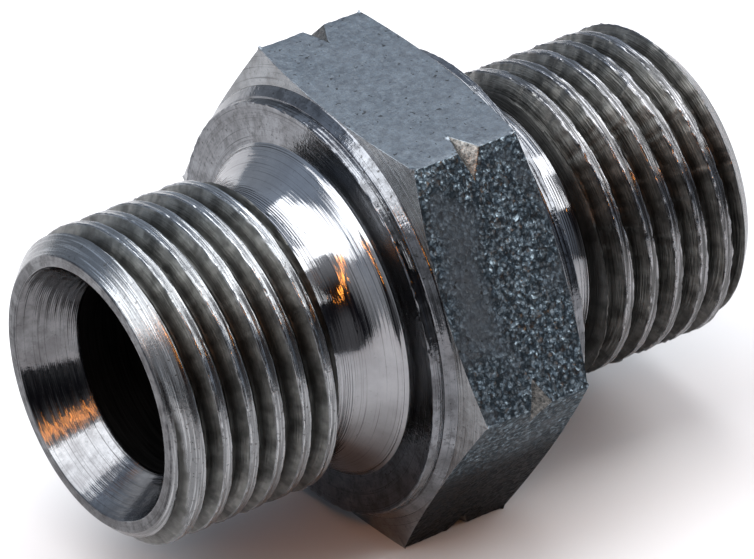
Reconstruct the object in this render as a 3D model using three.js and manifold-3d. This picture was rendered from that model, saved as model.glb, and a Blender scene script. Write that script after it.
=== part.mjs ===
// Hex nipple: a double-ended male adaptor, M16 x 1.5 on both ends, 22 mm hexagon, 60 degree cone seats.
// Units are millimetres. The nipple's axis is X, the front end points to -X, and +Z is the normal of a
// hexagon flat. The origin is on the axis, halfway between the two ends.
// The real nipple is machined from one bar. Each mesh here is one turned stretch of that bar, and
// neighbours meet face to face on the planes of the turned shoulders.

import * as THREE from 'three';
import { mergeVertices } from 'three/addons/utils/BufferGeometryUtils.js';
import Module from 'manifold-3d';

const wasm = await Module();
wasm.setup();

// ---------------------------------------------------------------- driving dimensions

const overallLength = 34;
const acrossFlats = 22;
const threadMajorDiameter = 15.85;
const threadPitch = 1.5;
const threadRootDiameter = 14.2;
const threadCrestWidth = 0.42;
const boreDiameter = 9.75;
const coneMouthDiameter = 12.76;
const coneHalfAngle = THREE.MathUtils.degToRad(30);
const endFaceDiameter = 13.8;
const reliefDiameter = 13.6;
const reliefFlareDiameter = 16.6;
const sealingFaceDiameter = 20.8;
const landDiameter = 21.1;
const collarDiameter = 22;

// Distances from the middle of the nipple along its axis, the same on both sides.
const endPlane = overallLength / 2;
const threadStop = 7.95;
const threadPlane = 7.4;
const flareStart = 7.1;
const flareRimPlane = 4.55;
const sealingPlane = 4.42;
const landEnd = 3.9;
const hexPlane = 3.43;
const cornerEdgeEnd = 2.94;

// The neck's flare steepens with the first of these powers, and eases off at its rim with the second.
const flareSteepening = 2.8;
const flareEasing = 14.8;

// A V-shaped groove is turned across the hexagon's corners, a little off the middle.
const grooveFloorRadius = 12.04;
const grooveFrontLip = -0.4;
const grooveFloor = 0.09;
const grooveRearLip = 0.85;

const roundSegments = 48;
const threadSegments = 36;
const hexRoundSegments = 96;

// Each end's thread ridge crosses the +Z side at this X, and at every whole pitch from it.
const frontThreadStart = -16.28;
const rearThreadStart = 7.18;

// ---------------------------------------------------------------- worked-out values

const boreRadius = boreDiameter / 2;
const coneMouthRadius = coneMouthDiameter / 2;
const coneDepth = (coneMouthRadius - boreRadius) / Math.tan(coneHalfAngle);
const majorRadius = threadMajorDiameter / 2;
const rootRadius = threadRootDiameter / 2;
const endFaceRadius = endFaceDiameter / 2;
const noseChamfer = majorRadius - endFaceRadius;
const reliefRadius = reliefDiameter / 2;
const flareRadius = reliefFlareDiameter / 2;
const rimFootRadius = flareRadius + flareRimPlane - sealingPlane;
const cornerRadius = acrossFlats / Math.sqrt(3);

// ---------------------------------------------------------------- materials

const zincPlated = { metalness: 1 };
const threadMaterial = new THREE.MeshStandardMaterial({ color: 0x74757a, roughness: 0.38, ...zincPlated });
const neckMaterial = new THREE.MeshStandardMaterial({ color: 0x9a9ba3, roughness: 0.25, ...zincPlated });
const collarMaterial = new THREE.MeshStandardMaterial({ color: 0x868890, roughness: 0.3, ...zincPlated });
const hexMaterial = new THREE.MeshStandardMaterial({ color: 0x6f747c, roughness: 0.48, ...zincPlated });

// ---------------------------------------------------------------- shape helpers

// Turns a closed mesh into a solid that can be cut and joined.
function solidFrom(geometry) {
  geometry.deleteAttribute('normal');
  geometry.deleteAttribute('uv');
  const merged = mergeVertices(geometry);
  return new wasm.Manifold(
    new wasm.Mesh({
      numProp: 3,
      vertProperties: new Float32Array(merged.attributes.position.array),
      triVerts: new Uint32Array(merged.index.array),
    })
  );
}

// Gives a solid back as a mesh with a name and a material.
function meshFrom(name, solid, material) {
  const { vertProperties, triVerts } = solid.getMesh();
  const geometry = new THREE.BufferGeometry();
  geometry.setAttribute('position', new THREE.BufferAttribute(vertProperties, 3));
  geometry.setIndex(new THREE.BufferAttribute(triVerts, 1));
  geometry.computeVertexNormals();
  const mesh = new THREE.Mesh(geometry, material);
  mesh.name = name;
  return mesh;
}

// Turns a closed outline about the X axis. The outline is a list of [distance along the axis, radius], with
// the distance counted from the middle towards the end that side names: -1 for the front, 1 for the rear.
function turned(outline, side, segments = roundSegments) {
  const points = outline.map(([distance, radius]) => new THREE.Vector2(radius, side * distance));
  points.push(points[0].clone());
  if (side > 0) points.reverse();
  const geometry = new THREE.LatheGeometry(points, segments);
  geometry.rotateZ(-Math.PI / 2);
  return solidFrom(geometry);
}

// ---------------------------------------------------------------- thread

// A right-hand helical ridge with a flat crest and 60 degree flanks. Its feet lie a little inside the root,
// so that it joins the root cylinder, and it is longer than the threaded stretch.
function helicalRidge(startX, turns) {
  const halfCrest = threadCrestWidth / 2;
  const footRadius = rootRadius - 0.15;
  const footReach = halfCrest + (majorRadius - footRadius) * Math.tan(Math.PI / 6);
  const section = [
    [-footReach, footRadius],
    [-halfCrest, majorRadius],
    [halfCrest, majorRadius],
    [footReach, footRadius],
  ];
  const corners = section.length;
  const steps = Math.ceil(turns * threadSegments);

  const positions = [];
  for (let step = 0; step <= steps; step += 1) {
    const angle = (2 * Math.PI * step) / threadSegments;
    const x = startX + (threadPitch * step) / threadSegments;
    for (const [offset, radius] of section) {
      positions.push(x + offset, -radius * Math.sin(angle), radius * Math.cos(angle));
    }
  }

  const triangles = [0, 1, 2, 0, 2, 3];
  for (let step = 0; step < steps; step += 1) {
    for (let corner = 0; corner < corners; corner += 1) {
      const a = step * corners + corner;
      const b = step * corners + ((corner + 1) % corners);
      triangles.push(a, b + corners, b, a, a + corners, b + corners);
    }
  }
  const last = steps * corners;
  triangles.push(last, last + 2, last + 1, last, last + 3, last + 2);

  const geometry = new THREE.BufferGeometry();
  geometry.setAttribute('position', new THREE.Float32BufferAttribute(positions, 3));
  geometry.setIndex(triangles);
  return solidFrom(geometry);
}

// ---------------------------------------------------------------- stretches of the body

// A threaded end: 60 degree cone mouth, flat end face, chamfered nose, thread, and a run-out at the neck.
function threadedEnd(side, threadStart) {
  const aboveCrest = 0.5;
  const runOutSlope = (threadStop - threadPlane) / (majorRadius - reliefRadius);
  const envelope = turned(
    [
      [threadPlane, boreRadius],
      [endPlane - coneDepth, boreRadius],
      [endPlane, coneMouthRadius],
      [endPlane, endFaceRadius],
      [endPlane - noseChamfer - aboveCrest, majorRadius + aboveCrest],
      [threadStop + aboveCrest * runOutSlope, majorRadius + aboveCrest],
      [threadPlane, reliefRadius],
    ],
    side,
    threadSegments
  );
  const core = turned(
    [
      [threadPlane - 1, boreRadius - 1],
      [endPlane + 1, boreRadius - 1],
      [endPlane + 1, rootRadius],
      [threadPlane - 1, rootRadius],
    ],
    side,
    threadSegments
  );
  const lowestX = side < 0 ? -endPlane : threadPlane;
  const pitchesBack = Math.ceil((threadStart - lowestX) / threadPitch) + 1;
  const turns = (endPlane - threadPlane) / threadPitch + 3;
  const ridge = helicalRidge(threadStart - pitchesBack * threadPitch, turns);
  return core.add(ridge).intersect(envelope);
}

// A relief neck: a plain turned waist that flares out, with an S-shaped outline, to a narrow raised rim
// round the sealing face.
function reliefNeck(side) {
  const flareSteps = 11;
  const wholeFlare = 1 / flareSteepening - 1 / flareEasing;
  const flare = [];
  for (let i = 0; i <= flareSteps; i += 1) {
    const along = i / flareSteps;
    const steep = along ** flareSteepening / flareSteepening;
    const eased = along ** flareEasing / flareEasing;
    flare.push([
      flareStart - (flareStart - flareRimPlane) * along,
      reliefRadius + ((flareRadius - reliefRadius) * (steep - eased)) / wholeFlare,
    ]);
  }
  const rimFoot = [sealingPlane, rimFootRadius];
  return turned(
    [[sealingPlane, boreRadius], [threadPlane, boreRadius], [threadPlane, reliefRadius], ...flare, rimFoot],
    side
  );
}

// A sealing collar: a flat face square to the axis, a narrow land, and a bevel that widens to the hexagon's
// flats. The neck stands on the inner part of the face, up to the foot of its rim, and a seal lies on the
// ring outside it.
function sealingCollar(side) {
  return turned(
    [
      [hexPlane, boreRadius],
      [sealingPlane, boreRadius],
      [sealingPlane, rimFootRadius],
      [sealingPlane, sealingFaceDiameter / 2],
      [landEnd, landDiameter / 2],
      [hexPlane, collarDiameter / 2],
    ],
    side
  );
}

// The hexagon: two flats square to Z, corners towards +Y and -Y, both faces chamfered, and the turned groove.
function hexagon() {
  const length = 2 * hexPlane;
  const prism = new THREE.CylinderGeometry(cornerRadius, cornerRadius, length, 6, 1, false, Math.PI / 2);
  prism.rotateZ(-Math.PI / 2);
  const clearRadius = cornerRadius + 1;
  const chamferSlope = (hexPlane - cornerEdgeEnd) / (cornerRadius - collarDiameter / 2);
  const chamferReach = hexPlane - chamferSlope * (clearRadius - collarDiameter / 2);
  const lipSpread = (clearRadius - grooveFloorRadius) / (cornerRadius - grooveFloorRadius);
  const outline = [
    [-hexPlane, boreRadius],
    [hexPlane, boreRadius],
    [hexPlane, collarDiameter / 2],
    [chamferReach, clearRadius],
    [grooveFloor + (grooveRearLip - grooveFloor) * lipSpread, clearRadius],
    [grooveFloor, grooveFloorRadius],
    [grooveFloor + (grooveFrontLip - grooveFloor) * lipSpread, clearRadius],
    [-chamferReach, clearRadius],
    [-hexPlane, collarDiameter / 2],
  ];
  return solidFrom(prism).intersect(turned(outline, 1, hexRoundSegments));
}

// ---------------------------------------------------------------- assembly

const front = -1;
const rear = 1;

const group = new THREE.Group();
group.add(
  meshFrom('front_threaded_end', threadedEnd(front, frontThreadStart), threadMaterial),
  meshFrom('front_relief_neck', reliefNeck(front), neckMaterial),
  meshFrom('front_sealing_collar', sealingCollar(front), collarMaterial),
  meshFrom('hex_body', hexagon(), hexMaterial),
  meshFrom('rear_sealing_collar', sealingCollar(rear), collarMaterial),
  meshFrom('rear_relief_neck', reliefNeck(rear), neckMaterial),
  meshFrom('rear_threaded_end', threadedEnd(rear, rearThreadStart), threadMaterial)
);

export default group;
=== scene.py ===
"""Hex nipple, M16 x 1.5 with a 22 mm hexagon, in zinc-plated steel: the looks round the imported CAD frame.

The nipple is turned from one hexagon bar. Each CAD stretch of it is replaced by a closed mesh with the same
planes and radii, and with the rounded edges, burrs and tool marks of the real surface.
Lengths are in millimetres until a mesh, a light or the camera is made. The angle round the axis is 0 at the
top (+Z) and grows towards the camera's side (-Y). Distances are counted from the middle of the nipple along
its axis.
"""
import math

import bpy
import numpy as np
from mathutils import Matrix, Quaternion, Vector


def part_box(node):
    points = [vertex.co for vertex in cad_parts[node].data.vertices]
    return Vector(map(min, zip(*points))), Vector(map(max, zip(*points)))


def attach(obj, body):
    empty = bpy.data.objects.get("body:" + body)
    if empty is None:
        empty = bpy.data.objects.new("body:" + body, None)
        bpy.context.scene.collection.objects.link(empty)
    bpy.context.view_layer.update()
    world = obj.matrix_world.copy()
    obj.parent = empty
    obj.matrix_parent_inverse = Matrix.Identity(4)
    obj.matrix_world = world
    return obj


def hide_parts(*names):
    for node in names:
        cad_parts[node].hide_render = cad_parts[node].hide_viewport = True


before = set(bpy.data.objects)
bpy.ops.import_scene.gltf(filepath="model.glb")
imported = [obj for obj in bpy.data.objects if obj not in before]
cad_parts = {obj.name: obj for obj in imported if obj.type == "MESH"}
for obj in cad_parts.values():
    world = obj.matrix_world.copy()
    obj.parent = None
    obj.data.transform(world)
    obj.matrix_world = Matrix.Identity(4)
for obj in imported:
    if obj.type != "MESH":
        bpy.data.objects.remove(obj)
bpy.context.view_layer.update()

MM = 0.001
TURN = 2 * math.pi
SIXTH = math.radians(60)
HALF_SIXTH = math.radians(30)
FRONT = -1
REAR = 1

# ---------------------------------------------------------------- sizes that the frame gives


def node_reach(node):
    """The highest corner of a CAD node, in millimetres."""
    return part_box(node)[1] / MM


END_PLANE = node_reach("rear_threaded_end").x
THREAD_PLANE = node_reach("rear_relief_neck").x
SEALING_PLANE = node_reach("rear_sealing_collar").x
HEX_PLANE = node_reach("hex_body").x
FLAT_RADIUS = node_reach("hex_body").z
FLOOR_HEIGHT = -FLAT_RADIUS

# ---------------------------------------------------------------- driving sizes of the design

PITCH = 1.5
MAJOR_RADIUS = 7.925
ROOT_RADIUS = 7.1
CREST_WIDTH = 0.42
FLANK_SLOPE = 1 / math.tan(math.radians(30))
FRONT_THREAD_START = -16.28
REAR_THREAD_START = 7.18
BORE_RADIUS = 4.875
CONE_MOUTH_RADIUS = 6.38
CONE_ANGLE = math.radians(30)
END_FACE_RADIUS = 6.9
RELIEF_RADIUS = 6.8
THREAD_STOP = 7.95
FLARE_START = 7.1
FLARE_RIM_PLANE = 4.55
FLARE_RADIUS = 8.3
FLARE_STEEPENING = 2.8
FLARE_EASING = 14.8
RIM_FOOT_RADIUS = FLARE_RADIUS + FLARE_RIM_PLANE - SEALING_PLANE
SEALING_FACE_RADIUS = 10.4
LAND_END = 3.9
LAND_RADIUS = 10.55
COLLAR_RADIUS = 11.0
CORNER_RADIUS = FLAT_RADIUS * 2 / math.sqrt(3)
CORNER_EDGE_END = 2.94
GROOVE_FLOOR_RADIUS = 12.04
GROOVE_FRONT_LIP = -0.4
GROOVE_FLOOR = 0.09
GROOVE_REAR_LIP = 0.85

# A thread's last ring lies this far behind the end face, and the rows of its helix that come this close to
# that ring, or to the ring at the neck, become part of it.
NOSE_SETBACK = 0.05
RING_MARGIN = 0.004

# The tool's feed for each turn of the bar, in a neck's mesh and in the plating's finer marks.
NECK_FEED = 0.13
PLATING_FEED = 0.12

# Vertices round the whole axis, and along one flat of the hexagon.
NECK_COLUMNS = 420
COLLAR_COLUMNS = 540
THREAD_COLUMNS = 400
FLAT_COLUMNS = 112

# Rows along the hexagon: on each chamfer, and in front of the groove's floor and behind it.
CHAMFER_ROWS = 12
FRONT_FLAT_ROWS = 26
FRONT_WALL_ROWS = 6
REAR_WALL_ROWS = 7
REAR_FLAT_ROWS = 24

# Where two faces meet at more than this angle, the edge between them is drawn sharp.
SHARP_ANGLE = math.radians(38)

# How rough the crests are: the rear thread is more battered.
FRONT_CREST_ROUGHNESS = 1.15
REAR_CREST_ROUGHNESS = 2.4

# Where the random values start. A neck or a collar adds its side, and each table after the first counts on.
NECK_SEED = 40
COLLAR_SEED = 60
HEXAGON_SEED = 11
BURR_SEED = 16
FRONT_THREAD_SEED = 100
REAR_THREAD_SEED = 200
TABLE_ROWS = 512

# How coarse the plating's grains are on each flat: the top one, then round past the camera's side. The flat
# that faces the camera has a smoother spot on it.
FLAT_GRAIN = (0.15, 1.0, 0.9, 0.5, 0.7, 0.5)
SPOTTED_FLAT = 1
SPOT_STRENGTH = 0.62
SPOT_X = -1.7
SPOT_LENGTH = 1.5
SPOT_ACROSS = 0.6
SPOT_WIDTH = 4.2

# Material slots: of a turned piece, of the hexagon, and of a threaded end.
SHOWN_SLOT, HIDDEN_SLOT = range(2)
DRAWN_SLOT, CUT_SLOT, GROOVE_SLOT = range(3)
THREAD_SLOT, LIP_SLOT, BORE_SLOT, SEAT_SLOT = range(4)

# ---------------------------------------------------------------- numbers on grids


def soft_min(a, b, blend):
    """The lower of two heights, with the crease between them rounded over about that length."""
    share = np.clip(0.5 + 0.5 * (b - a) / blend, 0, 1)
    return b * (1 - share) + a * share - blend * share * (1 - share)


def soft_max(a, b, blend):
    """The higher of two heights, with the crease between them rounded."""
    return -soft_min(-a, -b, blend)


def patches(along, angle, length, count, seed):
    """Smooth random values from -1 to 1: cells of that length along, and that many round the axis."""
    table = np.random.default_rng(seed).uniform(-1, 1, (TABLE_ROWS, count))
    a, b = np.broadcast_arrays(np.asarray(along) / length, np.asarray(angle) / TURN * count)
    a_cell = np.floor(a).astype(int)
    b_cell = np.floor(b).astype(int)
    a_share = ease(a - a_cell)
    b_share = ease(b - b_cell)
    column = b_cell % count
    next_column = (b_cell + 1) % count
    row = a_cell % TABLE_ROWS
    next_row = (a_cell + 1) % TABLE_ROWS
    near = table[row, column] * (1 - b_share) + table[row, next_column] * b_share
    far = table[next_row, column] * (1 - b_share) + table[next_row, next_column] * b_share
    return near * (1 - a_share) + far * a_share


def ease(part):
    """A share from 0 to 1 that starts and ends gently."""
    return part * part * (3 - 2 * part)


def bump_at(distance, width):
    """A round bump of height 1 where the distance is 0."""
    return np.exp(-((distance / width) ** 2))


def spaced(points, step):
    """The points of an outline, with more put in so that none are further apart than the step."""
    result = [points[0]]
    for start, end in zip(points[:-1], points[1:]):
        length = math.dist(start, end)
        count = max(1, math.ceil(length / step))
        for i in range(1, count + 1):
            share = i / count
            result.append([a + (b - a) * share for a, b in zip(start, end)])
    return result


def rounded(points, fillet, steps=4):
    """The outline with each inner corner replaced by a small curve."""
    result = [points[0]]
    for before, corner, after in zip(points[:-2], points[1:-1], points[2:]):
        entry = toward(corner, before, fillet)
        leave = toward(corner, after, fillet)
        for i in range(steps + 1):
            t = i / steps
            shares = ((1 - t) ** 2, 2 * t * (1 - t), t * t)
            result.append([sum_of(shares, values) for values in zip(entry, corner, leave)])
    result.append(points[-1])
    return result


def sum_of(shares, values):
    """The values added up, each times its share."""
    return shares[0] * values[0] + shares[1] * values[1] + shares[2] * values[2]


def toward(start, target, length):
    """The point at that length from the start on the way to the target, or halfway if that is nearer."""
    whole = math.dist(start, target)
    share = min(length, whole * 0.45) / whole
    return [s + (t - s) * share for s, t in zip(start, target)]


# ---------------------------------------------------------------- meshes from rows of rings


def make_piece(name, x, radius, angle, index, face_slots, materials, node, grain=None):
    """A smooth mesh with one vertex for each x and radius of the grid, faced as the index grid says. There is
    one face slot for each row, or for each face. Grain says how coarse the surface is at each vertex."""
    points = np.stack([x, -radius * np.sin(angle), radius * np.cos(angle)], axis=-1).reshape(-1, 3) * MM
    corner_indices = [index[:-1, :-1], index[:-1, 1:], index[1:, 1:], index[1:, :-1]]
    quads = np.stack(corner_indices, axis=-1).reshape(-1, 4)
    columns = index.shape[1] - 1
    slots = face_slots.ravel() if face_slots.ndim == 2 else np.repeat(face_slots, columns)
    used, quads = np.unique(quads, return_inverse=True)
    quads = quads.reshape(-1, 4)
    faces = []
    kept_slots = []
    for quad, face_slot in zip(quads.tolist(), slots.tolist()):
        corners = [c for i, c in enumerate(quad) if c != quad[i - 1]]
        if len(corners) > 2:
            faces.append(corners)
            kept_slots.append(face_slot)
    mesh = bpy.data.meshes.new(name)
    mesh.from_pydata(points[used].tolist(), [], faces)
    for material in materials:
        mesh.materials.append(material)
    mesh.polygons.foreach_set("material_index", kept_slots)
    if grain is not None:
        layer = mesh.attributes.new("grain", "FLOAT", "POINT")
        layer.data.foreach_set("value", grain.ravel()[used].astype(np.float32))
    mesh.shade_smooth()
    mesh.set_sharp_from_angle(angle=SHARP_ANGLE)
    mesh.update()
    piece = bpy.data.objects.new(name, mesh)
    bpy.context.scene.collection.objects.link(piece)
    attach(piece, "root")
    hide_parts(node)
    return piece


def ring_index(rows, columns):
    """The index grid of a closed outline turned all the way round."""
    row = np.arange(rows + 1) % rows
    column = np.arange(columns + 1) % columns
    return row[:, None] * columns + column[None, :]


def bore_wall(start, end):
    """Three points of a turned piece's outline along the bore."""
    return [[distance, BORE_RADIUS] for distance in (start, (start + end) / 2, end)]


def turned_piece(name, side, hidden, visible, relief, columns, materials, node):
    """A closed outline turned about the axis: the plain hidden points, then the visible ones with relief.
    Relief takes the distance, radius and angle of each point, and gives what to add to the first two. The
    first and last visible points stay as they are, so that the piece meets its neighbours."""
    outline = np.array(hidden + visible)
    slots = np.array([HIDDEN_SLOT] * len(hidden) + [SHOWN_SLOT] * len(visible))
    shown = np.array([0.0] * (len(hidden) + 1) + [1.0] * (len(visible) - 2) + [0.0])
    angle = np.arange(columns) / columns * TURN
    distance = np.repeat(outline[:, :1], columns, axis=1)
    radius = np.repeat(outline[:, 1:], columns, axis=1)
    add_distance, add_radius = relief(distance, radius, angle)
    distance = distance + shown[:, None] * add_distance
    radius = radius + shown[:, None] * add_radius
    x = side * distance
    if side == REAR:
        x, radius, slots = x[::-1], radius[::-1], np.roll(slots[::-1], -1)
    index = ring_index(len(x), columns)
    return make_piece(name, x, radius, angle, index, slots, materials, node)


# ---------------------------------------------------------------- relief neck


def flare_height(along):
    """How far the neck has flared at a share of its flare: it steepens, and eases off at its rim."""
    return along**FLARE_STEEPENING / FLARE_STEEPENING - along**FLARE_EASING / FLARE_EASING


def relief_neck(side, materials):
    """The turned waist behind a thread, which flares out to a narrow raised rim round the sealing face."""
    points = 60
    rim_fillet = 0.05
    outline_step = 0.04
    whole = 1 / FLARE_STEEPENING - 1 / FLARE_EASING
    flare = []
    for along in np.linspace(0, 1, points).tolist():
        height = flare_height(along) / whole
        distance = FLARE_START - (FLARE_START - FLARE_RIM_PLANE) * along
        flare.append([distance, RELIEF_RADIUS + (FLARE_RADIUS - RELIEF_RADIUS) * height])
    rim = rounded([flare[-2], flare[-1], [SEALING_PLANE, RIM_FOOT_RADIUS]], rim_fillet)
    visible = spaced([[THREAD_PLANE, RELIEF_RADIUS]] + flare[:-1] + rim[1:], outline_step)
    hidden = bore_wall(SEALING_PLANE, THREAD_PLANE)
    seed = NECK_SEED + side

    def tool_marks(distance, radius, angle):
        turns = distance / NECK_FEED - angle / TURN
        depth = 0.0035 + 0.004 * patches(distance, angle, 0.11, 7, seed) ** 2
        marks = -depth * np.clip(np.cos(turns * TURN), 0, 1) ** 3
        waves = 0.004 * patches(distance, angle, 0.3, 9, seed + 5)
        nicks = -0.02 * bump_at(patches(distance, angle, 0.12, 90, seed + 9) - 0.97, 0.05)
        return 0, marks + waves + nicks

    name = "front_neck" if side == FRONT else "rear_neck"
    node = "front_relief_neck" if side == FRONT else "rear_relief_neck"
    return turned_piece(name, side, hidden, visible, tool_marks, NECK_COLUMNS, materials, node)


# ---------------------------------------------------------------- sealing collar


def sealing_collar(side, materials):
    """The flat sealing face, its burred edge, a narrow land, a small tool groove and a bevel."""
    edge_radius = SEALING_FACE_RADIUS
    edge_fillet = 0.03
    fillet_steps = 3
    outline_step = 0.05
    # The numbers below are the small steps of the real edges, on either side of the CAD's planes and radii.
    outline = rounded(
        [
            [SEALING_PLANE, RIM_FOOT_RADIUS],
            [SEALING_PLANE, edge_radius - 0.12],
            [SEALING_PLANE + 0.03, edge_radius - 0.01],
            [SEALING_PLANE - 0.04, edge_radius + 0.07],
            [LAND_END + 0.05, LAND_RADIUS - 0.05],
            [LAND_END, LAND_RADIUS - 0.09],
            [LAND_END - 0.03, LAND_RADIUS + 0.02],
            [HEX_PLANE + 0.05, COLLAR_RADIUS - 0.03],
            [HEX_PLANE, COLLAR_RADIUS - 0.01],
        ],
        edge_fillet,
        fillet_steps,
    )
    visible = spaced(outline, outline_step)
    hidden = bore_wall(HEX_PLANE, SEALING_PLANE)
    seed = COLLAR_SEED + side

    def edge_burrs(distance, radius, angle):
        at_edge = bump_at(radius - edge_radius, 0.07)
        grit = patches(radius, angle, 0.08, 210, seed)
        chips = np.clip(patches(radius, angle, 0.3, 64, seed + 3) - 0.35, 0, 1)
        on_face = np.where(radius < edge_radius - 0.1, 1.0, 0.0)
        rings = on_face * 0.003 * patches(radius, angle, 0.09, 6, seed + 7)
        on_land = np.where((radius > edge_radius + 0.04) & (radius < LAND_RADIUS), 1.0, 0.0)
        on_bevel = np.where(radius > LAND_RADIUS, 1.0, 0.0)
        ridges = on_land * 0.012 * patches(distance, angle, 0.1, 11, seed + 8)
        streaks = on_bevel * 0.008 * patches(distance, angle, 0.06, 17, seed + 9)
        outward = at_edge * (0.03 * grit - 0.07 * chips) + ridges + streaks
        return rings + at_edge * (0.025 * grit - 0.03 * chips), outward

    name = "front_collar" if side == FRONT else "rear_collar"
    node = "front_sealing_collar" if side == FRONT else "rear_sealing_collar"
    return turned_piece(name, side, hidden, visible, edge_burrs, COLLAR_COLUMNS, materials, node)


# ---------------------------------------------------------------- hexagon


def flat_columns(per_flat):
    """Angles round the hexagon, closer together near its corners. The first is the corner before the top
    flat."""
    crowding = 0.75
    half_width = FLAT_RADIUS * math.tan(HALF_SIXTH)
    share = np.arange(per_flat) / per_flat * 2 - 1
    across = half_width * (share + crowding * np.sin(math.pi * share) / math.pi)
    within = np.arctan2(across, FLAT_RADIUS)
    return np.concatenate([within + SIXTH * k for k in range(6)])


def hexagon_radius(angle):
    """Distance from the axis to the hexagon's surface, with the corners rounded a little."""
    corner_blend = 0.045
    nearest = (angle + HALF_SIXTH) % SIXTH - HALF_SIXTH
    here = FLAT_RADIUS / np.cos(nearest)
    beyond = FLAT_RADIUS / np.cos(SIXTH - np.abs(nearest))
    return soft_min(here, beyond, corner_blend)


def span(start, end, count):
    """Rows from start to end, closer together at both ends. The end itself is left for the next span."""
    crowding = 0.8
    share = np.arange(count) / count
    eased = share - crowding * np.sin(share * TURN) / TURN
    return start + (end - start) * eased[:, None]


def hex_body(materials):
    """The hexagon with both faces chamfered and a V groove turned across its corners."""
    angle = flat_columns(FLAT_COLUMNS)
    bar = hexagon_radius(angle)
    least = 0.03
    chamfer_rise = (CORNER_RADIUS - COLLAR_RADIUS) / (HEX_PLANE - CORNER_EDGE_END)
    chamfer_end = np.minimum(HEX_PLANE - (bar - COLLAR_RADIUS) / chamfer_rise, HEX_PLANE - least)
    groove_depth = np.maximum(bar - GROOVE_FLOOR_RADIUS, least)
    full_depth = CORNER_RADIUS - GROOVE_FLOOR_RADIUS
    front_lip = GROOVE_FLOOR - (GROOVE_FLOOR - GROOVE_FRONT_LIP) * groove_depth / full_depth
    rear_lip = GROOVE_FLOOR + (GROOVE_REAR_LIP - GROOVE_FLOOR) * groove_depth / full_depth
    face = np.full_like(angle, HEX_PLANE)
    floor = np.full_like(angle, GROOVE_FLOOR)
    drawn = np.full(len(angle), DRAWN_SLOT)
    cut = np.full(len(angle), CUT_SLOT)
    groove_wall = np.where(bar > GROOVE_FLOOR_RADIUS, GROOVE_SLOT, DRAWN_SLOT)
    spans = [
        (span(-face, -chamfer_end, CHAMFER_ROWS), cut),
        (span(-chamfer_end, front_lip, FRONT_FLAT_ROWS), drawn),
        (span(front_lip, floor, FRONT_WALL_ROWS), groove_wall),
        (span(floor, rear_lip, REAR_WALL_ROWS), groove_wall),
        (span(rear_lip, chamfer_end, REAR_FLAT_ROWS), drawn),
        (span(chamfer_end, face, CHAMFER_ROWS), cut),
        (face[None, :], cut),
    ]
    x = np.concatenate([rows for rows, _ in spans])
    slots = np.concatenate([np.repeat(slot[None, :], len(rows), axis=0) for rows, slot in spans])

    chamfer = COLLAR_RADIUS + (HEX_PLANE - np.abs(x)) * chamfer_rise
    front_run = GROOVE_FLOOR - GROOVE_FRONT_LIP
    rear_run = GROOVE_REAR_LIP - GROOVE_FLOOR
    wall_run = np.where(x < GROOVE_FLOOR, front_run, rear_run)
    groove = GROOVE_FLOOR_RADIUS + np.abs(x - GROOVE_FLOOR) / wall_run * full_depth
    flat = np.floor((angle / TURN * 6 + 0.5) % 6).astype(int)
    coarseness = np.array(FLAT_GRAIN)[flat]
    dents = patches(x, angle, 1.6, 30, HEXAGON_SEED) * 0.01
    dents = dents + coarseness * patches(x, angle, 0.28, 260, HEXAGON_SEED + 1) * 0.004
    wear = 0.02 + 0.03 * patches(x, angle, 0.22, 6, HEXAGON_SEED + 2)
    radius = bar[None, :] + dents - bump_at(bar - CORNER_RADIUS, 0.12) * wear
    radius = soft_min(radius, chamfer + 0.01 * patches(chamfer, angle, 0.07, 9, HEXAGON_SEED + 3), 0.02)
    radius = soft_min(radius, groove + 0.006 * patches(x, angle, 0.05, 12, HEXAGON_SEED + 4), 0.04)
    radius = radius + corner_burrs(x, angle)

    across_flat = (angle - SIXTH * flat) * FLAT_RADIUS
    inside = np.array([[HEX_PLANE, BORE_RADIUS], [0, BORE_RADIUS], [-HEX_PLANE, BORE_RADIUS]])
    x = np.concatenate([x, np.repeat(inside[:, :1], len(angle), axis=1)])
    radius = np.concatenate([radius, np.repeat(inside[:, 1:], len(angle), axis=1)])
    slots = np.concatenate([slots, np.repeat(cut[None, :], len(inside), axis=0)])
    index = ring_index(len(x), len(angle))
    spot = bump_at(x - SPOT_X, SPOT_LENGTH) * bump_at(across_flat - SPOT_ACROSS, SPOT_WIDTH)
    grain = coarseness * (1 - np.where(flat == SPOTTED_FLAT, SPOT_STRENGTH, 0.0) * spot)
    return make_piece("hexagon", x, radius, angle, index, slots, materials, "hex_body", grain)


def corner_burrs(x, angle):
    """Tiny beads of metal that the cutter pushed up where its cuts end: on corner edges and groove tips."""
    edge_bead_height = 0.12
    tip_bead_height = 0.09
    bead_length = 0.09
    bead_width = 0.1
    greatest_shift = 0.05
    greatest_turn = 0.012
    tip_shift = 0.06
    tip_turn = 0.004
    random = np.random.default_rng(BURR_SEED)
    groove_tip = math.acos(FLAT_RADIUS / GROOVE_FLOOR_RADIUS)
    beads = []
    for corner in range(6):
        corner_angle = math.radians(30 + 60 * corner)
        for edge in (-CORNER_EDGE_END, CORNER_EDGE_END):
            place = edge + random.uniform(-greatest_shift, greatest_shift)
            beads.append((place, corner_angle - random.uniform(0, greatest_turn), edge_bead_height))
        flat_angle = corner_angle - HALF_SIXTH
        beads.append((GROOVE_FLOOR - tip_shift, flat_angle + groove_tip + tip_turn, tip_bead_height))
    total = np.zeros_like(x)
    for place, bead_angle, height in beads:
        turn = (angle - bead_angle + math.pi) % TURN - math.pi
        total += height * bump_at(x - place, bead_length) * bump_at(turn * CORNER_RADIUS, bead_width)
    return total


# ---------------------------------------------------------------- threaded end


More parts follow.
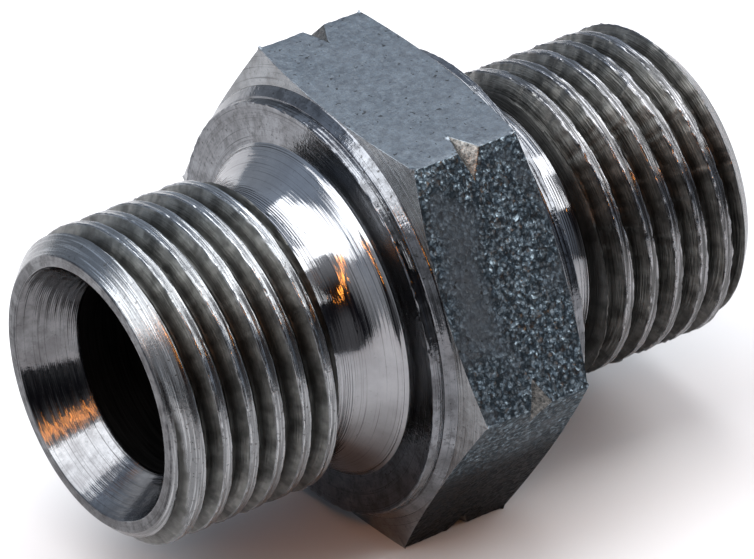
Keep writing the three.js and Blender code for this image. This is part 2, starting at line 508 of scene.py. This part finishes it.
def thread_rows():
    """Offsets of the rows in one pitch from the crest's middle, closer together at the crest's edges."""
    edge = CREST_WIDTH / 2
    half = [edge * share for share in (0, 0.35, 0.68, 0.88, 1, 1.1, 1.28, 1.6, 2.1, 2.6)]
    half += [edge + beyond for beyond in (0.28, 0.38, 0.46)]
    half = sorted(set(round(value, 4) for value in half if value < PITCH / 2 - 0.03))
    return [-value for value in reversed(half[1:])] + half + [PITCH / 2]


def thread_radius(x, angle, start, roughness, seed):
    """Height of the threaded surface: a 60 degree ridge with worn, burred crest edges and a rounded root."""
    crest_half = CREST_WIDTH / 2
    cell = 0.7
    offset = (x - start - PITCH * angle / TURN + PITCH / 2) % PITCH - PITCH / 2
    wander = 0.02 * roughness * patches(x, angle, cell, 70, seed)
    wander = wander + 0.012 * roughness * patches(x, angle, cell, 190, seed + 1)
    reach = np.abs(offset + wander) - crest_half
    crest_grit = 0.006 * roughness * patches(x, angle, 0.09, 60, seed + 2)
    crest_height = MAJOR_RADIUS - 0.015 + crest_grit + 0.01 * patches(x, angle, cell, 24, seed + 3)
    crest_height = crest_height - 0.022 * bump_at(offset, 0.09)
    flank = MAJOR_RADIUS - reach * FLANK_SLOPE
    surface = soft_min(crest_height, flank, 0.035)
    front_edge = bump_at(offset + crest_half - 0.02, 0.045)
    rear_edge = bump_at(offset - crest_half + 0.02, 0.04)
    front_burr = np.clip(patches(x, angle, cell, 170, seed + 4) + 0.25, 0, 1)
    rear_burr = np.clip(patches(x, angle, cell, 110, seed + 5), 0, 1)
    surface = surface + front_edge * 0.03 * roughness * front_burr
    surface = surface + rear_edge * 0.012 * roughness * rear_burr
    chips = np.clip(patches(x, angle, 0.5, 84, seed + 6) - 0.55, 0, 1)
    surface = surface - front_edge * 0.12 * roughness * chips
    return soft_max(surface, ROOT_RADIUS + 0.006 * patches(x, angle, 0.06, 20, seed + 7), 0.1)


def threaded_end(side, start, materials):
    """The thread with its chamfered nose, flat end face and 60 degree cone mouth. Its rows follow the helix,
    so that the crest edges stay sharp, and end on plain rings at the nose and at the relief neck."""
    columns = THREAD_COLUMNS
    angle = np.arange(columns) / columns * TURN
    roughness = FRONT_CREST_ROUGHNESS if side == FRONT else REAR_CREST_ROUGHNESS
    seed = FRONT_THREAD_SEED if side == FRONT else REAR_THREAD_SEED
    nose_ring = side * (END_PLANE - NOSE_SETBACK)
    neck_ring = side * THREAD_PLANE
    first, last = min(nose_ring, neck_ring), max(nose_ring, neck_ring)

    rows = thread_rows()
    lowest_turn = math.floor((first - PITCH - start) / PITCH) - 1
    highest_turn = math.ceil((last - start) / PITCH) + 1
    turns = range(lowest_turn, highest_turn)
    base = np.array([start + PITCH * turn + row for turn in turns for row in rows])
    keep_from = np.searchsorted(base, first - PITCH, side="right") - 1
    keep_to = np.searchsorted(base, last) + 1
    base = base[keep_from:keep_to]
    x = base[:, None] + PITCH * angle[None, :] / TURN
    on_first = x <= first + RING_MARGIN
    on_last = x >= last - RING_MARGIN
    on_last[-1] = True
    x = np.clip(np.where(on_first, first, np.where(on_last, last, x)), first, last)

    thread = thread_radius(x, angle, start, roughness, seed)
    nose = END_FACE_RADIUS + (END_PLANE - np.abs(x)) + 0.008 * patches(x, angle, 0.08, 14, seed + 20)
    run_out_rise = (MAJOR_RADIUS - RELIEF_RADIUS) / (THREAD_STOP - THREAD_PLANE)
    run_out = RELIEF_RADIUS + (np.abs(x) - THREAD_PLANE) * run_out_rise
    radius = soft_min(soft_min(thread, nose, 0.08), run_out, 0.06)

    inner_distance, inner_radius, inner_slots = end_outline(angle, seed)
    inner_x = side * inner_distance
    if side == REAR:
        inner_x, inner_radius = inner_x[::-1], inner_radius[::-1]
        inner_slots = np.roll(inner_slots[::-1], -1)

    helix_rows = len(base)
    index = np.arange(helix_rows * columns).reshape(helix_rows, columns)
    index = np.where(on_first, index[:1], np.where(on_last, index[-1:], index))
    turned_on = np.minimum(np.arange(helix_rows) + len(rows), helix_rows - 1)
    index = np.concatenate([index, index[turned_on][:, :1]], axis=1)
    inner_index = helix_rows * columns + ring_index(len(inner_x), columns)[:-1]
    index = np.concatenate([index, inner_index, index[:1]])

    x = np.concatenate([x, inner_x])
    radius = np.concatenate([radius, inner_radius])
    slots = np.array([THREAD_SLOT] * (helix_rows - 1) + list(inner_slots[:1]) + list(inner_slots))
    name = "front_thread" if side == FRONT else "rear_thread"
    node = "front_threaded_end" if side == FRONT else "rear_threaded_end"
    return make_piece(name, x, radius, angle, index, slots, materials, node)


def end_outline(angle, seed):
    """The plain rings inside a threaded end, from the relief neck's plane through the bore to the nose."""
    cone_depth = (CONE_MOUTH_RADIUS - BORE_RADIUS) / math.tan(CONE_ANGLE)
    cone_foot = [END_PLANE - cone_depth, BORE_RADIUS]
    bore_length = cone_foot[0] - THREAD_PLANE
    bore = [[THREAD_PLANE, BORE_RADIUS + 0.9], [THREAD_PLANE, BORE_RADIUS]]
    bore += [[THREAD_PLANE + bore_length * share, BORE_RADIUS] for share in (0.33, 0.66)]
    corners = [
        [cone_foot[0] - 0.2, BORE_RADIUS],
        cone_foot,
        [END_PLANE, CONE_MOUTH_RADIUS],
        [END_PLANE, END_FACE_RADIUS],
        [END_PLANE - NOSE_SETBACK, END_FACE_RADIUS + 0.04],
    ]
    edge_fillet = 0.06
    fillet_steps = 3
    outline_step = 0.09
    shown = spaced(rounded(corners, edge_fillet, fillet_steps)[:-1], outline_step)
    outline = np.array(bore + shown)
    in_cone = (outline[:, 0] > cone_foot[0] + 0.02) & (outline[:, 1] < CONE_MOUTH_RADIUS - 0.02)
    slots = np.where(in_cone, SEAT_SLOT, LIP_SLOT)
    slots[: len(bore) + 1] = BORE_SLOT
    distance = np.repeat(outline[:, :1], len(angle), axis=1)
    radius = np.repeat(outline[:, 1:], len(angle), axis=1)
    on_cone = (distance > cone_foot[0] + 0.1) & (radius < CONE_MOUTH_RADIUS - 0.05)
    marks = 0.008 * patches(distance, angle, 0.11, 5, seed + 30)
    on_face = distance > END_PLANE - 0.01
    dents = 0.01 * patches(radius, angle, 0.12, 70, seed + 31)
    distance = distance + np.where(on_face, np.minimum(dents, 0), 0)
    return distance, radius + np.where(on_cone, marks, 0), slots


# ---------------------------------------------------------------- materials

NEAR_BLACK = (0.03, 0.03, 0.03)
PIT_BLACK = (0.04, 0.04, 0.04)


class Nodes:
    """A material's node tree with short ways to add and join nodes."""

    def __init__(self, name):
        self.material = bpy.data.materials.new(name)
        self.material.use_nodes = True
        self.tree = self.material.node_tree
        self.shader = self.tree.nodes["Principled BSDF"]
        self.shader.inputs["Metallic"].default_value = 1.0

    def add(self, kind, settings=None, **inputs):
        """A new node with these settings, and with values or links on the inputs named."""
        node = self.tree.nodes.new(kind)
        for key, value in (settings or {}).items():
            setattr(node, key, value)
        for key, value in inputs.items():
            self.feed(node.inputs[key.replace("_", " ")], value)
        return node

    def feed(self, socket, value):
        """Links an output to the socket, or sets the socket's own value."""
        if isinstance(value, bpy.types.NodeSocket):
            self.tree.links.new(value, socket)
        else:
            socket.default_value = value

    def math(self, operation, *values):
        """The result of a sum on numbers."""
        node = self.add("ShaderNodeMath", {"operation": operation})
        for socket, value in zip(node.inputs, values):
            self.feed(socket, value)
        return node.outputs[0]

    def vector_math(self, operation, *values):
        """The result of a sum on vectors."""
        node = self.add("ShaderNodeVectorMath", {"operation": operation})
        for socket, value in zip(node.inputs, values):
            self.feed(socket, value)
        return node.outputs[0]

    def scaled(self, vector, scale):
        """The vector times a number."""
        return self.add("ShaderNodeVectorMath", {"operation": "SCALE"}, Vector=vector, Scale=scale).outputs[0]

    def place(self):
        """The position in millimetres."""
        return self.scaled(self.add("ShaderNodeTexCoord").outputs["Object"], 1 / MM)

    def axes(self, place):
        """X, Y and Z of a position."""
        return self.add("ShaderNodeSeparateXYZ", Vector=place).outputs

    def radius(self, place):
        """A position's distance from the nipple's axis."""
        y, z = self.axes(place)[1:]
        return self.math("SQRT", self.math("ADD", self.math("MULTIPLY", y, y), self.math("MULTIPLY", z, z)))

    def noise(self, vector, scale, detail, roughness, w=None):
        """Noise from 0 to 1, with a fourth coordinate if w is given."""
        dimensions = "3D" if w is None else "4D"
        node = self.add("ShaderNodeTexNoise", {"noise_dimensions": dimensions})
        self.feed(node.inputs["Vector"], vector)
        self.feed(node.inputs["Scale"], scale)
        self.feed(node.inputs["Detail"], detail)
        self.feed(node.inputs["Roughness"], roughness)
        if w is not None:
            self.feed(node.inputs["W"], w)
        return node.outputs["Fac"]

    def turned_noise(self, place, fine, slow):
        """Noise that changes quickly along the outline and slowly round the axis, as tool marks do."""
        x, y, z = self.axes(place)
        along = self.math("MULTIPLY", x, fine)
        outward = self.math("MULTIPLY", self.radius(place), fine)
        y_slow = self.math("MULTIPLY", y, slow)
        z_slow = self.math("MULTIPLY", z, slow)
        vector = self.add("ShaderNodeCombineXYZ", X=along, Y=outward, Z=y_slow).outputs[0]
        return self.noise(vector, 1.0, 2.0, 0.6, w=z_slow)

    def ramp(self, value, low, high, start, end):
        """Start where the value is low, end where it is high, and evenly between them."""
        node = self.add("ShaderNodeMapRange", {"clamp": True}, Value=value)
        for key, number in (("From Min", low), ("From Max", high), ("To Min", start), ("To Max", end)):
            self.feed(node.inputs[key], number)
        return node.outputs["Result"]

    def blend_colour(self, share, first, second):
        """The first colour where the share is 0, and the second where it is 1."""
        node = self.add("ShaderNodeMix", {"data_type": "RGBA"})
        self.feed(node.inputs["Factor"], share)
        for socket, colour in ((node.inputs[6], first), (node.inputs[7], second)):
            self.feed(socket, colour if isinstance(colour, bpy.types.NodeSocket) else (*colour, 1))
        return node.outputs[2]

    def bump(self, height, depth, normal=None):
        """Bump whose height of 1 stands for that many millimetres."""
        node = self.add("ShaderNodeBump", Height=height, Strength=1.0, Distance=depth * MM)
        if normal is not None:
            self.feed(node.inputs["Normal"], normal)
        return node.outputs["Normal"]

    def finish(self, colour, roughness, normal, anisotropy=0.0):
        """The finished material. Anisotropy stretches its highlights across the turning marks."""
        self.feed(self.shader.inputs["Base Color"], colour)
        self.feed(self.shader.inputs["Roughness"], roughness)
        self.feed(self.shader.inputs["Normal"], normal)
        if anisotropy:
            quarter_turn = 0.25
            self.shader.inputs["Anisotropic"].default_value = anisotropy
            self.shader.inputs["Anisotropic Rotation"].default_value = quarter_turn
            tangent = self.add("ShaderNodeTangent", {"direction_type": "RADIAL", "axis": "X"})
            self.feed(self.shader.inputs["Tangent"], tangent.outputs[0])
        return self.material


def darker(colour, share):
    """The colour times a share. A share above 1 makes it lighter."""
    return tuple(share * channel for channel in colour)


def turned_steel(name, bright, stained, smoothest, roughest, speck_share, mottle_share):
    """Plating over fine turning marks, with stained patches, dark streaks, mottling and specks."""
    n = Nodes(name)
    place = n.place()
    x = n.axes(place)["X"]
    fine_marks = n.turned_noise(place, 20.0, 0.12)
    coarse_marks = n.turned_noise(place, 6.0, 0.08)
    stains = n.noise(place, 0.6, 5.0, 0.65)
    mottling = n.noise(place, 1.7, 6.0, 0.75)
    specks = n.noise(place, 5.0, 2.0, 0.5)

    along = n.math("ADD", n.math("ABSOLUTE", x), n.math("MULTIPLY", n.radius(place), 0.9))
    even_turns = n.math("MULTIPLY", along, TURN / PLATING_FEED)
    feed_turns = n.math("ADD", even_turns, n.math("MULTIPLY", coarse_marks, 5.0))
    feed_lines = n.math("MULTIPLY", n.math("SINE", feed_turns), n.ramp(fine_marks, 0.35, 0.6, 0.2, 1.0))

    colour = n.blend_colour(n.ramp(stains, 0.35, 0.65, 0, 1), bright, stained)
    colour = n.blend_colour(n.ramp(mottling, 0.48, 0.6, 0, mottle_share), colour, darker(stained, 0.6))
    colour = n.blend_colour(n.ramp(fine_marks, 0.57, 0.68, 0, 0.75), colour, darker(stained, 0.25))
    colour = n.blend_colour(n.ramp(specks, 0.64, 0.72, 0, speck_share), colour, NEAR_BLACK)
    roughness = n.ramp(coarse_marks, 0.3, 0.7, smoothest, roughest)
    normal = n.bump(feed_lines, 0.0012)
    normal = n.bump(fine_marks, 0.006, normal)
    normal = n.bump(coarse_marks, 0.014, normal)
    normal = n.bump(n.math("MULTIPLY", specks, speck_share), 0.01, normal)
    return n.finish(colour, roughness, normal, anisotropy=0.55)


def threaded_steel(name, bright, scuffed, groove, scratches):
    """Plating that is bright on the edges of the crests, scuffed between them, and stained on the flanks. The
    groove colour is painted shade in the roots, which fades out up the flanks.
    """
    n = Nodes(name)
    place = n.place()
    x = n.axes(place)["X"]
    radius = n.radius(place)
    marks = n.turned_noise(place, 12.0, 0.3)
    grit = n.noise(place, 7.0, 3.0, 0.6)
    stains = n.noise(place, 0.9, 4.0, 0.65)
    grime = n.noise(place, 1.1, 2.0, 0.45)

    on_crest = n.ramp(radius, MAJOR_RADIUS - 0.11, MAJOR_RADIUS - 0.04, 0, 1)
    on_burr = n.ramp(radius, MAJOR_RADIUS - 0.022, MAJOR_RADIUS, 0, 1)
    nose_height = n.math("SUBTRACT", END_FACE_RADIUS + END_PLANE, n.math("ABSOLUTE", x))
    below_nose = n.math("SUBTRACT", nose_height, radius)
    on_nose = n.ramp(below_nose, 0.04, 0.12, 1, 0)
    worn = n.math("MAXIMUM", on_crest, on_nose)
    # Painted shade: the roots take the darkest groove colour, and it fades out up the flank.
    out_of_root_shade = n.ramp(radius, ROOT_RADIUS + 0.1, ROOT_RADIUS + 0.5, 0, 1)

    stain_share = n.ramp(stains, 0.38, 0.62, 0, 1)
    flank_colour = n.blend_colour(stain_share, darker(groove, 2.2), darker(groove, 4))
    flank_and_root_shade_colour = n.blend_colour(out_of_root_shade, groove, flank_colour)
    flank_and_root_shade_colour = n.blend_colour(n.ramp(grime, 0.44, 0.64, 0, 0.55), flank_and_root_shade_colour, darker(groove, 0.35))
    polish = n.math("MAXIMUM", on_burr, n.ramp(marks, 0.5, 0.66, 0, 1))
    crest_colour = n.blend_colour(polish, scuffed, bright)
    crest_colour = n.blend_colour(n.ramp(grit, 0.58, 0.7, 0, 0.8), crest_colour, groove)
    colour = n.blend_colour(worn, flank_and_root_shade_colour, crest_colour)
    roughness = n.math("ADD", n.ramp(worn, 0, 1, 0.42, 0.2), n.ramp(grit, 0.3, 0.7, -0.04, 0.08))
    normal = n.bump(marks, scratches)
    normal = n.bump(grit, 0.006, normal)
    return n.finish(colour, roughness, normal, anisotropy=0.3)


def bore_painted_shade():
    """The drilled bore: dull and scored, and coloured almost black as painted shade for its dark inside."""
    # Painted shade: the bore's colours are set near black.
    darkest = (0.006, 0.006, 0.006)
    lightest = (0.016, 0.016, 0.016)
    n = Nodes("bore_painted_shade")
    marks = n.turned_noise(n.place(), 9.0, 0.3)
    colour = n.blend_colour(n.ramp(marks, 0.35, 0.65, 0, 1), darkest, lightest)
    return n.finish(colour, n.ramp(marks, 0.3, 0.7, 0.45, 0.6), n.bump(marks, 0.02))


def drawn_steel():
    """The drawn flats of the hexagon: plating whose grains face slightly different ways. Where the grain
    strength is low the flat is pale and satin, and where it is high the flat is darker and glitters. The
    lower flats are darkened towards the floor with painted shade."""
    satin_pale = (0.205, 0.232, 0.257)
    satin_dark = (0.13, 0.142, 0.16)
    satin_scuffed = (0.15, 0.165, 0.17)
    crystal_pale = (0.205, 0.255, 0.29)
    crystal_dark = (0.04, 0.053, 0.064)
    crystal_scuffed = (0.07, 0.085, 0.095)
    # Painted shade for the lower flats.
    underside_painted_shade = (0.02, 0.02, 0.021)
    edge_tint = (0.52, 0.52, 0.52, 1)
    middle = (0.5, 0.5, 0.5)
    greatest_lean = 0.47

    n = Nodes("drawn_steel")
    place = n.place()
    broad = n.noise(place, 0.35, 2.0, 0.5)
    strength = n.add("ShaderNodeAttribute", {"attribute_name": "grain"}).outputs["Fac"]
    strength = n.math("MULTIPLY", strength, n.ramp(broad, 0.38, 0.6, 0.45, 1.0))
    warp = n.add("ShaderNodeTexNoise", Vector=place, Scale=3.0).outputs["Color"]
    warped = n.vector_math("ADD", place, n.scaled(warp, 0.35))
    crystals = n.add("ShaderNodeTexVoronoi", {"feature": "F1"}, Vector=warped, Scale=5.2)
    lean = n.vector_math("SUBTRACT", crystals.outputs["Color"], middle)
    lean = n.scaled(lean, n.math("MULTIPLY", strength, greatest_lean))
    level = n.add("ShaderNodeNewGeometry").outputs["Normal"]
    facing = n.vector_math("NORMALIZE", n.vector_math("ADD", level, lean))

    fine = n.noise(place, 9.0, 3.0, 0.6)
    blotches = n.noise(place, 2.2, 5.0, 0.75)
    pits = n.noise(place, 4.5, 1.0, 0.5)
    satin = n.blend_colour(n.ramp(blotches, 0.38, 0.62, 0, 1), satin_pale, satin_dark)
    satin = n.blend_colour(n.ramp(fine, 0.42, 0.62, 0, 0.6), satin, satin_scuffed)
    unevenness = n.ramp(n.noise(place, 3.8, 2.0, 0.5), 0.3, 0.7, -0.4, 0.4)
    crystal_share = n.ramp(n.math("ADD", crystals.outputs["Distance"], unevenness), 0.15, 0.6, 0, 1)
    coarse = n.blend_colour(crystal_share, crystal_pale, crystal_dark)
    coarse = n.blend_colour(n.ramp(fine, 0.5, 0.62, 0, 0.6), coarse, crystal_scuffed)
    colour = n.blend_colour(n.ramp(strength, 0.1, 0.6, 0, 1), satin, coarse)
    colour = n.blend_colour(n.ramp(pits, 0.68, 0.74, 0, 0.85), colour, PIT_BLACK)
    # Painted shade: the flats get darker towards the floor, where they face the shadow under the nipple.
    painted_shade_below = n.ramp(n.axes(place)["Z"], -0.5 * FLAT_RADIUS, -0.3 * FLAT_RADIUS, 0.9, 0)
    colour = n.blend_colour(painted_shade_below, colour, underside_painted_shade)
    n.shader.inputs["Specular Tint"].default_value = edge_tint
    normal = n.bump(fine, 0.005, facing)
    normal = n.bump(n.math("MULTIPLY", crystals.outputs["Distance"], strength), 0.03, normal)
    return n.finish(colour, n.ramp(fine, 0.3, 0.7, 0.3, 0.42), normal)


def groove_steel():
    """The V groove's walls: dull plating in the bottom of a tool cut."""
    wall_pale = (0.15, 0.147, 0.14)
    wall_dark = (0.03, 0.032, 0.032)
    n = Nodes("groove_steel")
    grit = n.noise(n.place(), 6.0, 4.0, 0.65)
    colour = n.blend_colour(n.ramp(grit, 0.35, 0.65, 0, 1), wall_pale, wall_dark)
    return n.finish(colour, n.ramp(grit, 0.3, 0.7, 0.25, 0.4), n.bump(grit, 0.02))


def floor_material():
    """Plain pale matt surface."""
    material = bpy.data.materials.new("floor")
    material.use_nodes = True
    shader = material.node_tree.nodes["Principled BSDF"]
    shader.inputs["Base Color"].default_value = (0.58, 0.58, 0.585, 1)
    shader.inputs["Roughness"].default_value = 0.9
    return material


# ---------------------------------------------------------------- floor, light and camera

WHITE = (1.0, 1.0, 1.0)
ORANGE = (1.0, 0.34, 0.05)

FLOOR_RADIUS = 300

# Four panels of the same brightness hang at one height and face straight down. Each row gives a panel's
# middle (X, Y) and its size (X, Y).
PANEL_HEIGHT = 260
PANEL_RADIANCE = 4.7
PANELS = {
    "softbox": ((-300, 52), (800, 252)),
    "softbox_shoulder": ((0, 210), (220, 64)),
    "softbox_wing": ((150, -50), (100, 90)),
    "fill": ((330, -50), (240, 500)),
}

# A narrow warm strip that faces the nipple from the camera's side.
WARM_LAMP_PLACE = (-125, -146, 190)
WARM_LAMP_SIZE = (310, 4)
WARM_LAMP_RADIANCE = 42.0

# The studio's colours from the camera's side (0) to the far side (1), and the one that it has rearwards.
WORLD_STOPS = [
    (0.04, (0.16, 0.16, 0.17)),
    (0.09, (0.015, 0.015, 0.02)),
    (0.18, (0.015, 0.015, 0.02)),
    (0.26, (0.34, 0.35, 0.37)),
    (0.36, (0.66, 0.68, 0.73)),
    (0.6, (0.5, 0.59, 0.74)),
    (0.85, (0.58, 0.68, 0.84)),
    (1.0, (0.5, 0.55, 0.63)),
]
REARWARD_COLOUR = (0.42, 0.48, 0.58)
REARWARD_START = 0.55
REARWARD_END = 0.75


def make_floor():
    """A round floor under the nipple's lower flat."""
    mesh = bpy.data.meshes.new("floor")
    corners = 96
    angles = [TURN * i / corners for i in range(corners)]
    ring = [(FLOOR_RADIUS * math.cos(a) * MM, FLOOR_RADIUS * math.sin(a) * MM, 0) for a in angles]
    mesh.from_pydata(ring, [], [list(range(corners))])
    mesh.materials.append(floor_material())
    floor = bpy.data.objects.new("floor", mesh)
    floor.location.z = FLOOR_HEIGHT * MM
    bpy.context.scene.collection.objects.link(floor)


def soft_light(name, place, size, radiance, colour, target):
    """A rectangular light that faces its target. Radiance is its brightness per unit of its area."""
    data = bpy.data.lights.new(name, "AREA")
    data.shape = "RECTANGLE"
    data.size = size[0] * MM
    data.size_y = size[1] * MM
    data.energy = radiance * math.pi * data.size * data.size_y
    data.color = colour
    light = bpy.data.objects.new(name, data)
    light.location = Vector(place) * MM
    facing = (Vector(target) - Vector(place)).normalized()
    light.rotation_euler = facing.to_track_quat("-Z", "Y").to_euler()
    bpy.context.scene.collection.objects.link(light)


def make_lights():
    """A long overhead softbox with a shoulder and a wing, a fill panel over the rear end, and a warm lamp."""
    for name, ((x, y), size) in PANELS.items():
        soft_light(name, (x, y, PANEL_HEIGHT), size, PANEL_RADIANCE, WHITE, (x, y, 0))
    soft_light("warm_lamp", WARM_LAMP_PLACE, WARM_LAMP_SIZE, WARM_LAMP_RADIANCE, ORANGE, (0, 0, 0))


def make_world():
    """A studio that is blue-grey behind the nipple and at its rear end, and dark on the camera's side."""
    world = bpy.data.worlds.new("studio")
    world.use_nodes = True
    tree = world.node_tree
    place = tree.nodes.new("ShaderNodeTexCoord")
    split = tree.nodes.new("ShaderNodeSeparateXYZ")
    tree.links.new(place.outputs["Generated"], split.inputs[0])

    across = tree.nodes.new("ShaderNodeMapRange")
    across.inputs["From Min"].default_value = -1
    tree.links.new(split.outputs["Y"], across.inputs["Value"])
    ramp = tree.nodes.new("ShaderNodeValToRGB")
    tree.links.new(across.outputs["Result"], ramp.inputs["Fac"])
    elements = ramp.color_ramp.elements
    while len(elements) < len(WORLD_STOPS):
        elements.new(0.5)
    for element, (place_on_ramp, colour) in zip(elements, WORLD_STOPS):
        element.position = place_on_ramp
        element.color = (*colour, 1)

    rearwards = tree.nodes.new("ShaderNodeMapRange")
    rearwards.inputs["From Min"].default_value = REARWARD_START
    rearwards.inputs["From Max"].default_value = REARWARD_END
    tree.links.new(split.outputs["X"], rearwards.inputs["Value"])
    mix = tree.nodes.new("ShaderNodeMix")
    mix.data_type = "RGBA"
    tree.links.new(rearwards.outputs["Result"], mix.inputs["Factor"])
    tree.links.new(ramp.outputs["Color"], mix.inputs[6])
    mix.inputs[7].default_value = (*REARWARD_COLOUR, 1)
    tree.links.new(mix.outputs[2], tree.nodes["Background"].inputs["Color"])
    bpy.context.scene.world = world


def make_camera():
    """A long lens from above the front corner of the hexagon."""
    azimuth = math.radians(-36.2)
    elevation = math.radians(34.83)
    roll = math.radians(1.3)
    distance = 365.9
    focal_length = 362.0
    sensor_width = 36
    nearest = 10
    furthest = 5000
    aim = Vector((-0.18, 0.15, 0.01))
    back = Vector(
        (
            math.sin(azimuth) * math.cos(elevation),
            -math.cos(azimuth) * math.cos(elevation),
            math.sin(elevation),
        )
    )
    data = bpy.data.cameras.new("camera")
    data.lens = focal_length
    data.sensor_width = sensor_width
    data.clip_start = nearest * MM
    data.clip_end = furthest * MM
    camera = bpy.data.objects.new("camera", data)
    camera.location = (aim + back * distance) * MM
    camera.rotation_mode = "QUATERNION"
    camera.rotation_quaternion = (-back).to_track_quat("-Z", "Y") @ Quaternion((0, 0, 1), roll)
    bpy.context.scene.collection.objects.link(camera)
    bpy.context.scene.camera = camera


# ---------------------------------------------------------------- the scene

make_camera()
neck_plating = turned_steel(
    "neck_steel",
    bright=(0.28, 0.284, 0.295),
    stained=(0.23, 0.233, 0.243),
    smoothest=0.07,
    roughest=0.16,
    speck_share=0.15,
    mottle_share=0.05,
)
collar_plating = turned_steel(
    "collar_steel",
    bright=(0.195, 0.203, 0.218),
    stained=(0.1, 0.103, 0.11),
    smoothest=0.08,
    roughest=0.2,
    speck_share=0.9,
    mottle_share=0.7,
)
chamfer_plating = turned_steel(
    "chamfer_steel",
    bright=(0.26, 0.272, 0.283),
    stained=(0.16, 0.162, 0.167),
    smoothest=0.14,
    roughest=0.26,
    speck_share=0.6,
    mottle_share=0.4,
)
lip_plating = turned_steel(
    "lip_steel",
    bright=(0.16, 0.165, 0.172),
    stained=(0.06, 0.06, 0.064),
    smoothest=0.14,
    roughest=0.26,
    speck_share=0.9,
    mottle_share=0.8,
)
seat_plating = turned_steel(
    "seat_steel",
    bright=(0.21, 0.214, 0.222),
    stained=(0.12, 0.12, 0.125),
    smoothest=0.08,
    roughest=0.18,
    speck_share=0.3,
    mottle_share=0.3,
)
# Each thread's groove colour is the painted shade of its roots.
front_plating = threaded_steel(
    "front_thread_steel",
    bright=(0.34, 0.35, 0.36),
    scuffed=(0.15, 0.155, 0.16),
    groove=(0.048, 0.049, 0.047),
    scratches=0.02,
)
rear_plating = threaded_steel(
    "rear_thread_steel",
    bright=(0.28, 0.28, 0.29),
    scuffed=(0.08, 0.08, 0.08),
    groove=(0.042, 0.042, 0.04),
    scratches=0.04,
)
bore = bore_painted_shade()
drawn = drawn_steel()
groove = groove_steel()

for side, start, plating in (
    (FRONT, FRONT_THREAD_START, front_plating),
    (REAR, REAR_THREAD_START, rear_plating),
):
    threaded_end(side, start, [plating, lip_plating, bore, seat_plating])
    relief_neck(side, [neck_plating, bore])
    sealing_collar(side, [collar_plating, bore])
hex_body([drawn, chamfer_plating, groove])

make_floor()
make_lights()
make_world()
bpy.context.scene.view_settings.view_transform = "Standard"
